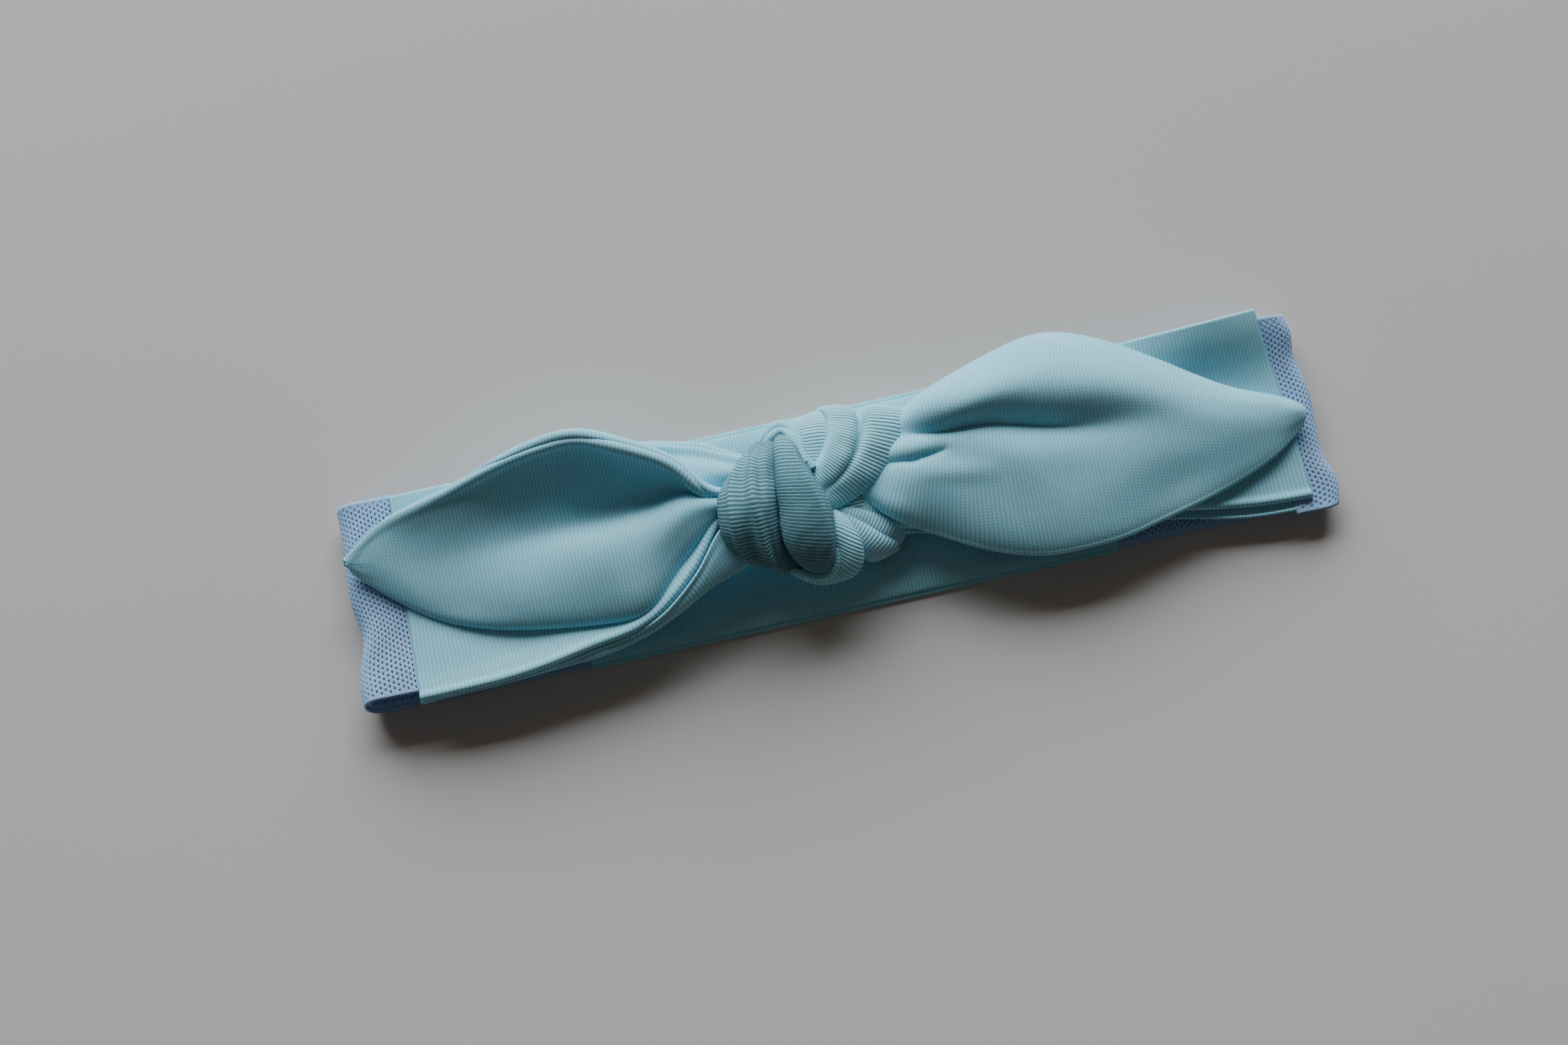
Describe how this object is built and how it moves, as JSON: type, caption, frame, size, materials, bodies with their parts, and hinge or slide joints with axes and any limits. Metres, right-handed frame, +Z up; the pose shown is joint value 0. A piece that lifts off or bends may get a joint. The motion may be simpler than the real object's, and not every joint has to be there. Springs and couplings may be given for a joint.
{
  "type": "knotted spa headband",
  "caption": "Soft two-ply headband loop folded flat, with a jersey nape, mesh side panels, a knotted front and pointed tie ends lying to the sides",
  "frame": {"origin": "on the table, under the middle of the nape panel of the loop as it lies flat", "axes": "+X along the flattened loop towards the right-hand fold, +Y across the band away from the wearer's brow edge, +Z up"},
  "size_m": [0.2509, 0.0605, 0.0284],
  "materials": {
    "jersey": "matt ribbed knit",
    "eyelet_mesh": "matt open mesh",
    "thread": "matt overlock"
  },
  "bodies": {
    "nape": {"nape_outer_ply": "jersey", "nape_inner_ply": "jersey", "nape_left_seam": "thread", "nape_right_seam": "thread", "left_mesh_outer_ply": "eyelet_mesh", "left_mesh_inner_ply": "eyelet_mesh", "right_mesh_outer_ply": "eyelet_mesh", "right_mesh_inner_ply": "eyelet_mesh"},
    "front": {"front_left_seam": "thread", "front_right_seam": "thread", "left_strip_outer_ply": "jersey", "left_strip_inner_ply": "jersey", "right_strip_outer_ply": "jersey", "right_strip_inner_ply": "jersey", "knot_front_wrap": "jersey", "knot_left_wrap": "jersey", "knot_right_wrap": "jersey", "knot_top_loop": "jersey", "knot_under_wrap": "jersey", "knot_fan_pleats": "jersey", "knot_core": "jersey"},
    "left_ear": {"left_ear_outer_ply": "jersey", "left_ear_inner_ply": "jersey"},
    "right_ear": {"right_ear_outer_ply": "jersey", "right_ear_inner_ply": "jersey"}
  },
  "joints": [
    {"name": "loop_open", "type": "slide", "parent": "nape", "child": "front", "axis": [0, 0, 1], "range_m": [0, 0.03], "deforming": ["left_mesh_outer_ply", "left_mesh_inner_ply", "right_mesh_outer_ply", "right_mesh_inner_ply"]},
    {"name": "left_ear_lift", "type": "hinge", "parent": "front", "child": "left_ear", "pos_m": [-0.03, 0.005, 0.0215], "axis": [0, 1, 0], "range_deg": [0, 60]},
    {"name": "right_ear_lift", "type": "hinge", "parent": "front", "child": "right_ear", "pos_m": [0.015, 0.0095, 0.021], "axis": [-0.6, -0.8, 0], "range_deg": [0, 60]}
  ]
}
